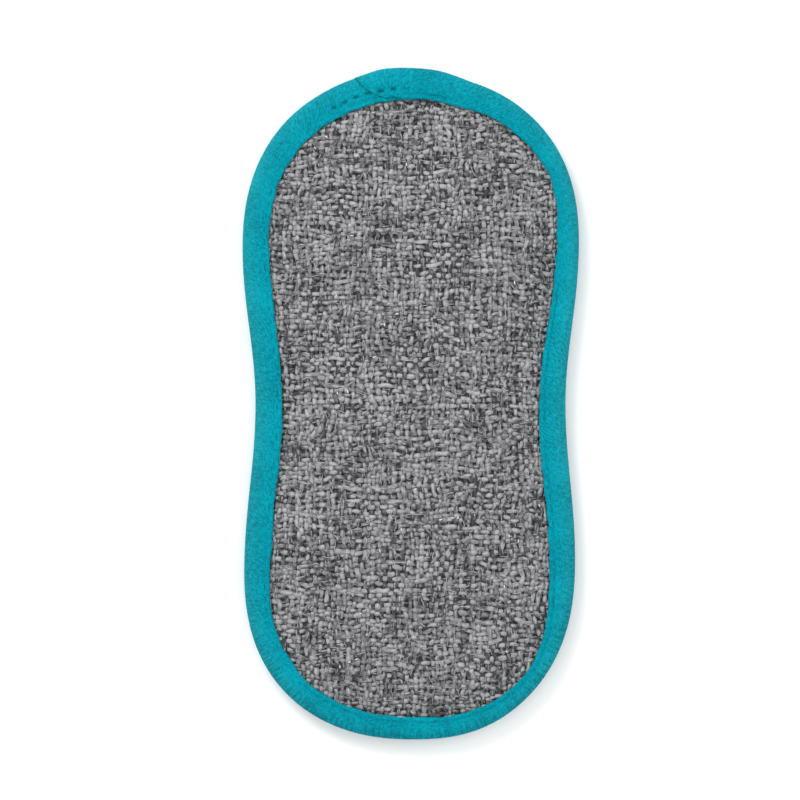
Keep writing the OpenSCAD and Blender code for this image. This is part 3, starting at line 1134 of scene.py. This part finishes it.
class Fold:
    """The tape's folded section and its way round the pad."""

    def __init__(self, outline, levels, tape):
        self.outline, self.levels, self.tape = outline, levels, tape
        self.t = tape.thickness / MM
        self.width = tape.width / MM
        self.stitch = self.width - tape.stitch_from_edge / MM
        self.roll, self.puff = tape.roll_in / MM, tape.puff / MM
        self.h = (levels.edge_top - levels.belly) / 2 + tape.gap / MM + self.t / 2
        self.lap_end, self.lap_l = tape.lap_end / MM, tape.lap_length / MM
        self.climb_l, self.lap_gap = tape.lap_climb / MM, tape.lap_gap / MM
        self.swell = tape.lap_swell / MM
        self.lap_start = self.lap_end - self.lap_l
        self.climb_from = outline.per + self.lap_start - self.climb_l
        self.pitch = outline.per / int(outline.per * MM / tape.stitch_pitch)
        self.seeds = np.random.default_rng(tape.seed).integers(0, 1 << 30, max(WAVERS.values()) + 1)

    def waver(self, name, s, *waves):
        """Uneven numbers round the pad, as a sum of (height, wavelength)."""
        rng = np.random.default_rng(self.seeds[WAVERS[name]])
        return sum(height * drift_round(rng, s, self.outline.per, wave) for height, wave in waves)

    def section(self, samples):
        """Points down the middle of the tape's thickness, their outward ways, and the run to each."""
        fold_in, roll_h = self.t / 2, self.h + self.puff
        # depth and height from the inner margin over the seam and the roll towards the fold
        side = np.array(
            [
                [self.width, self.h + 0.02],
                [self.width - 0.55, self.h + 0.22 * self.puff],
                [self.stitch, self.h + 0.30 * self.puff],
                [mix(self.stitch, self.roll, 0.45), self.h + 0.80 * self.puff],
                [self.roll, roll_h],
                [mix(fold_in, self.roll, 0.36), 0.86 * roll_h],
                [mix(fold_in, self.roll, 0.09), 0.47 * roll_h],
            ]
        )
        knots = np.concatenate([side, [[fold_in, 0.0]], side[::-1] * [1, -1]])
        chord = np.concatenate([[0], np.cumsum(np.linalg.norm(np.diff(knots, axis=0), axis=1))])
        # the points crowd together at the seam
        fine = np.linspace(0, chord[-1], 600)
        crowd = np.cumsum(1 + 2.6 * bell(fine - 1.9, 1.6))
        u = np.interp(np.linspace(crowd[0], crowd[-1], samples), crowd, fine)
        line = np.stack([smooth_line(u, chord, knots[:, k]) for k in (0, 1)], 1)
        way = np.gradient(line, u, axis=0)
        way /= np.linalg.norm(way, axis=1, keepdims=True)
        return line, np.stack([way[:, 1], -way[:, 0]], 1), u

    def from_top(self, s):
        """Millimetres from the upper end, negative on the right."""
        return self.outline.away(s, 0.0)

    def near_lap(self, s):
        """1 in the middle of the lap, 0 where its climb has not begun."""
        away = np.abs(self.from_top(s) - (self.lap_start + self.lap_end) / 2)
        return ease(1 - away / (self.lap_l / 2 + self.climb_l))

    def end_line(self, d):
        """How far the visible end has run back at a depth."""
        return self.tape.slant * (0.5 * d + 0.015 * d**3)

    def at_end(self, s):
        """From 0 in the middle of the lap to 1 at the visible end."""
        return ease((s - self.outline.per - self.lap_end) / (self.lap_l / 2) + 1)

    def climbed(self, s, share):
        """How high the upper layer lies over the lower one, at a share of the width, tight at both ends."""
        lift = self.t + self.lap_gap * (1 - 0.8 * self.at_end(s))
        # the inner margin stays on the face until the lower layer begins
        held_down = ease((share - 0.60) / 0.36) * ease((self.outline.per + self.lap_start - 0.8 - s) / 4)
        return lift * ease((s - self.climb_from) / (self.climb_l - 2)) * (1 - held_down)

    def pressed(self, s):
        """What the pressed visible end takes off the tape's outer side."""
        return self.t * (1 - self.tape.lap_press) * self.at_end(s)

    def doubled(self, s):
        """1 where the upper layer of the lap ends at the crease, 0 elsewhere."""
        return ease((s - self.outline.per + 3.5) / 17)

    def uneven_width(self, s):
        """How much wider or narrower the tape lies than its plain width, as it was sewn."""
        uneven = self.waver("width", s, (0.14, 26), (0.14, 8))
        for place, spread, change in SEWN_PLACES:
            uneven = uneven + change * bell(self.outline.away(s, place), spread)
        return uneven

    def crease_at(self, s):
        """Depth of the crease along the inner margin."""
        return self.stitch + self.uneven_width(s)

    def crease(self, s):
        """How plain the crease is: most on the right side, along the lower end and at the lap."""
        m = self.from_top(s)
        shown = between(m, -260, -85, 14) + between(m, 205, 260, 14) + between(m, -16, 24, 8)
        return (0.04 + 0.96 * np.clip(shown, 0, 1)) * (1 + self.waver("crease", s, (0.3, 12)))

    def seam_at(self, s):
        """Depth of the stitches, which leave the crease beside the lap."""
        beside = between(self.from_top(s), -6, 40, 10)
        return self.crease_at(s) - self.tape.seam_strays / MM * beside

    def pull(self, s):
        """How hard the thread pulls the tape in, most where the tape lies double."""
        beat = (s / self.pitch - self.tape.first_stitch + 0.5) % 1 - 0.5
        hard = 0.06 + self.waver("pull", s, (0.06, 9)) + 0.92 * between(self.from_top(s), -1, 30, 6)
        return hard * np.exp(-((beat * self.pitch / 0.95) ** 4))

    def sunk(self, s):
        """How deep the tape's outer side lies under the seam."""
        aside = bell(self.seam_at(s) - self.crease_at(s), 0.36)
        return 0.16 * self.crease(s) * aside + 0.34 * self.pull(s) - 0.30 * self.puff

    def shell(self, s, line, out, side):
        """The outer or inner side of the tape, and the painted shade at its crease, its seam and its visible
        end.
        """
        d, z = line[None, :, 0], line[None, :, 1]
        share, upper = np.clip(d / self.width, 0, 1), (z > 0) * 1.0
        doubled, seam_at = self.doubled(s) * upper, self.seam_at(s)
        last = self.outline.per + self.lap_end

        # the tape's own width and its uneven inner margin
        wider = mix(self.uneven_width(s), self.crease_at(s) + 0.25 - self.width, doubled)
        wider = wider * share**2 + self.waver("margin", s, (0.15, 3.4), (0.13, 1.7)) * share**6
        depth = d + wider

        # tucks, the crease, the pull of the stitches and the bulge of the face, as a rise
        above = self.waver("tucks_above", s, (0.5, 5.5), (0.5, 2.6))
        tucks = mix(self.waver("tucks_below", s, (0.5, 6.5), (0.5, 3.1)), above, upper)
        band = np.clip((d - 0.6) / 1.5, 0, 1) * np.clip(self.width + 0.3 - d, 0, 1)
        crease = self.crease(s) * (1 - doubled) * bell(depth - self.crease_at(s), 0.36)
        place = s - np.clip((s - last) / 14 + 1, 0, 1) * self.end_line(d)
        seam = self.pull(place) * bell(depth - seam_at, 0.34)
        flatter = 0.55 * self.puff * (1 - self.near_lap(s)) * bell(d - self.roll - 0.6, 1.3)
        bulge = upper * (self.levels.woven(depth) - self.levels.edge_top)
        rise = 0.085 * tucks * band - flatter + bulge - 0.16 * crease - 0.34 * seam

        # how far this side stands from the middle of the thickness
        lift = self.climbed(s, share)
        thick = lift + side * self.t / 2
        if side > 0:
            rounded = 0.35 * bell(self.width - d, 0.40)
            pulled = 0.5 * doubled * bell(depth - seam_at, 0.9)
            thick = np.maximum(thick - self.pressed(s) - rounded - pulled, lift - self.t / 2 + 0.1)
        swelling = self.swell * self.near_lap(s) * (1 - share)
        depth = depth + out[None, :, 0] * thick - swelling + 0.05 * tucks * share
        height = self.levels.middle + z + out[None, :, 1] * thick + rise * np.sign(z)
        points = np.concatenate([self.outline.inset(place, depth), height[..., None]], -1)
        # painted shade: darker in the crease, in the dimples of the stitches and along the lap's visible end
        dark = 0.17 * crease + seam + 0.5 * bell(last - s, 0.7) * (share < 0.95) * upper
        return points, np.clip(dark, 0, 1)


def smooth_line(u, knots, values):
    """A smooth line through values at knots, with slopes from their neighbours."""
    slope = np.gradient(values, knots)
    k = np.clip(np.searchsorted(knots, u, side="right") - 1, 0, len(knots) - 2)
    h = knots[k + 1] - knots[k]
    t = (u - knots[k]) / h
    return (
        values[k] * (2 * t**3 - 3 * t**2 + 1)
        + slope[k] * h * (t**3 - 2 * t**2 + t)
        + values[k + 1] * (-2 * t**3 + 3 * t**2)
        + slope[k + 1] * h * (t**3 - t**2)
    )


class PAD_OT_binding(bpy.types.Operator):
    """Folds the tape round the edge and laps its end over its start"""

    bl_idname = "pad.binding"
    bl_label = "Edge binding"

    def execute(self, context):
        outline, levels, _ = plan(context)
        tape = context.scene.pad_tape
        fold = Fold(outline, levels, tape)
        samples, rows = 27, 1180
        line, out, u = fold.section(samples)
        first, last = fold.lap_start, outline.per + fold.lap_end
        s = np.linspace(first, last, rows)[:, None]
        outer, dark = fold.shell(s, line, out, 1.0)
        inner, _ = fold.shell(s, line, out, -1.0)
        points = np.concatenate([outer, inner[:, ::-1]], 1).reshape(-1, 3)
        points[:, :2] += outline.shift
        values = self.wear(fold, s, line[:, 0])
        # the painted shade of the crease, the seam and the lap's visible end
        values["painted_shade"] = np.concatenate([dark, dark[:, ::-1]], 1)
        across = np.concatenate([u, u[::-1]])[None]
        uv = np.stack(np.broadcast_arrays(s * MM, across * MM), -1).reshape(-1, 2)
        made = piece("folded_tape", points, self.quads(samples, rows), uv=uv, values=values)
        finish_piece(made, tape_material(tape), "binding_tape", "edge_binding")
        stitches = [self.stitches(context, fold, up) for up in (1.0, -1.0)]
        return {"FINISHED"}

    def quads(self, samples, rows):
        """Faces round the tape and over its two cut ends."""
        m = 2 * samples
        a = np.arange(samples - 1)
        cap = np.stack([a, a + 1, m - 2 - a, m - 1 - a], 1)
        return np.concatenate([ring_quads(rows, m), cap[:, ::-1], cap + (rows - 1) * m])

    def wear(self, fold, s, d):
        """How rubbed the roll is, most at the sides, and where the lower end has short ribs and painted
        shade.
        """
        outline = fold.outline
        roll_spread, ribs_to, ribs_fade = 3.0, 78, 28
        band = bell(np.concatenate([d, d[::-1]])[None], roll_spread)
        rubbed = 0.15 + 0.85 * np.abs(outline.out(s[:, 0])[:, :1])
        from_low = outline.per / 2 - np.abs(fold.from_top(s))
        return {"roll": rubbed * band, "barred_and_shaded": band * ease((ribs_to - from_low) / ribs_fade)}

    def stitches(self, context, fold, up):
        """The stitches of one thread, each a short bent tube that dives into the tape at both ends."""
        tape, outline, levels = context.scene.pad_tape, fold.outline, fold.levels
        n = 9
        t = np.linspace(-1, 1, n)
        dive = 0.34 * np.clip((np.abs(t) - 0.72) / 0.28, 0, 1)
        radius = tape.thread / MM
        tubes = Tubes(6)
        for k in range(round(outline.per / fold.pitch)):
            s = (k + tape.first_stitch + 0.27 * t) * fold.pitch
            d = fold.seam_at(s) + 0.05 * math.sin(k * 2.4)
            on_lap = s[n // 2] < fold.lap_end - fold.end_line(d[n // 2])
            full = s + outline.per * on_lap
            lift = fold.climbed(full, fold.stitch / fold.width)
            lift -= np.maximum(fold.pressed(full), 0.5 * fold.doubled(full))
            z = fold.h + fold.t / 2 + lift - radius - fold.sunk(s) + 0.02 + 0.08 * fold.pull(s) - dive
            z += (levels.woven(d) - levels.edge_top) * (up > 0)
            centre = np.column_stack([outline.inset(s, d), levels.middle + up * z])
            thin = np.full(n, radius)
            tubes.add(centre, thin, thin, np.full((n, tubes.sides), 0.5))
        made = tubes.piece("needle_stitches" if up > 0 else "bobbin_stitches", outline.shift)
        look = (3200.0, 0.00005, 0.25, 0.6, 0.1)
        # teal thread, darkened with the painted shade of its dimples
        thread = once("thread", plain_fibre_material, "teal_thread", tape.thread_colour, *look)
        return finish_piece(made, thread, "binding_tape")


# Stage

# The photo's width, and how far the middle of its view lies from the pad's middle, in its pixels
PHOTO_PIXELS = 800
VIEW_OFFSET = (-10.5, 3.5)
# Height at which the view is as wide as it says, in metres
EYE_LEVEL = 0.005


class PAD_OT_stage(bpy.types.Operator):
    """Lays the pale floor and sets the soft light and the camera"""

    bl_idname = "pad.stage"
    bl_label = "Floor, light and camera"

    def execute(self, context):
        stage = context.scene.pad_stage
        self.floor(stage)
        self.light(stage)
        self.camera(stage)
        context.scene.view_settings.view_transform = "Standard"
        return {"FINISHED"}

    def floor(self, stage):
        mesh = bpy.data.meshes.new("floor")
        r = 3.0
        mesh.from_pydata([(-r, -r, 0), (r, -r, 0), (r, r, 0), (-r, r, 0)], [], [(0, 1, 2, 3)])
        made, n, shader = material("pale_table")
        cloud = n.add("ShaderNodeTexNoise", {"Scale": 3.0, "Detail": 2.0}).outputs["Fac"]
        n.surface(shader, n.blend(cloud, scaled(stage.floor, 0.985), tuple(stage.floor)), 0.9)
        mesh.materials.append(made)
        placed("floor", mesh)

    def light(self, stage):
        world = bpy.data.worlds.new("white_room")
        world.use_nodes = True
        back = world.node_tree.nodes.get("Background")
        back.inputs["Color"].default_value = (1.0, 1.0, 1.0, 1.0)
        back.inputs["Strength"].default_value = stage.fill
        bpy.context.scene.world = world
        for name, place, size, power in (
            ("key_box", (-0.58, 0.84, 0.88), 0.55, stage.key),
            ("side_box", (0.8, 0.25, 0.7), 0.5, stage.key * stage.side_share),
        ):
            lamp = bpy.data.lights.new(name, "AREA")
            lamp.shape, lamp.size, lamp.energy = "SQUARE", size, power
            box = placed(name, lamp)
            box.location = place
            box.rotation_euler = (-Vector(place)).to_track_quat("-Z", "Y").to_euler()

    def camera(self, stage):
        camera = bpy.data.cameras.new("camera")
        camera.sensor_width = 36.0
        camera.lens = camera.sensor_width * (stage.camera_height - EYE_LEVEL) / stage.view_width
        camera.clip_start, camera.clip_end = 0.05, 20.0
        pixel = stage.view_width / PHOTO_PIXELS
        made = placed("camera", camera)
        made.location = (VIEW_OFFSET[0] * pixel, VIEW_OFFSET[1] * pixel, stage.camera_height)
        bpy.context.scene.camera = made


class PAD_PT_panel(bpy.types.Panel):
    """Sizes, colours and makers of the cleaning pad"""

    bl_idname = "PAD_PT_panel"
    bl_label = "Cleaning pad"
    bl_space_type = "VIEW_3D"
    bl_region_type = "UI"
    bl_category = "Cleaning Pad"

    def draw(self, context):
        for key, maker in STEPS:
            box = self.layout.box()
            box.operator(maker.bl_idname)
            for name in PARTS[key].__annotations__:
                box.prop(getattr(context.scene, key), name)


PARTS = {
    "pad_shape": PadShape,
    "pad_foam": FoamSettings,
    "pad_weave": WeaveSettings,
    "pad_tape": TapeSettings,
    "pad_back": BackSettings,
    "pad_stage": StageSettings,
}
STEPS = (
    ("pad_foam", PAD_OT_foam),
    ("pad_weave", PAD_OT_face),
    ("pad_back", PAD_OT_back),
    ("pad_tape", PAD_OT_binding),
    ("pad_stage", PAD_OT_stage),
)
CLASSES = (*PARTS.values(), *(maker for _, maker in STEPS), PAD_PT_panel)


def register():
    for kind in CLASSES:
        bpy.utils.register_class(kind)
    for key, kind in PARTS.items():
        setattr(bpy.types.Scene, key, PointerProperty(type=kind))


def unregister():
    for key in PARTS:
        delattr(bpy.types.Scene, key)
    for kind in reversed(CLASSES):
        bpy.utils.unregister_class(kind)


def main():
    register()
    bpy.ops.pad.foam()
    bpy.ops.pad.face()
    bpy.ops.pad.back()
    bpy.ops.pad.binding()
    bpy.ops.pad.stage()


if __name__ == "__main__":
    main()
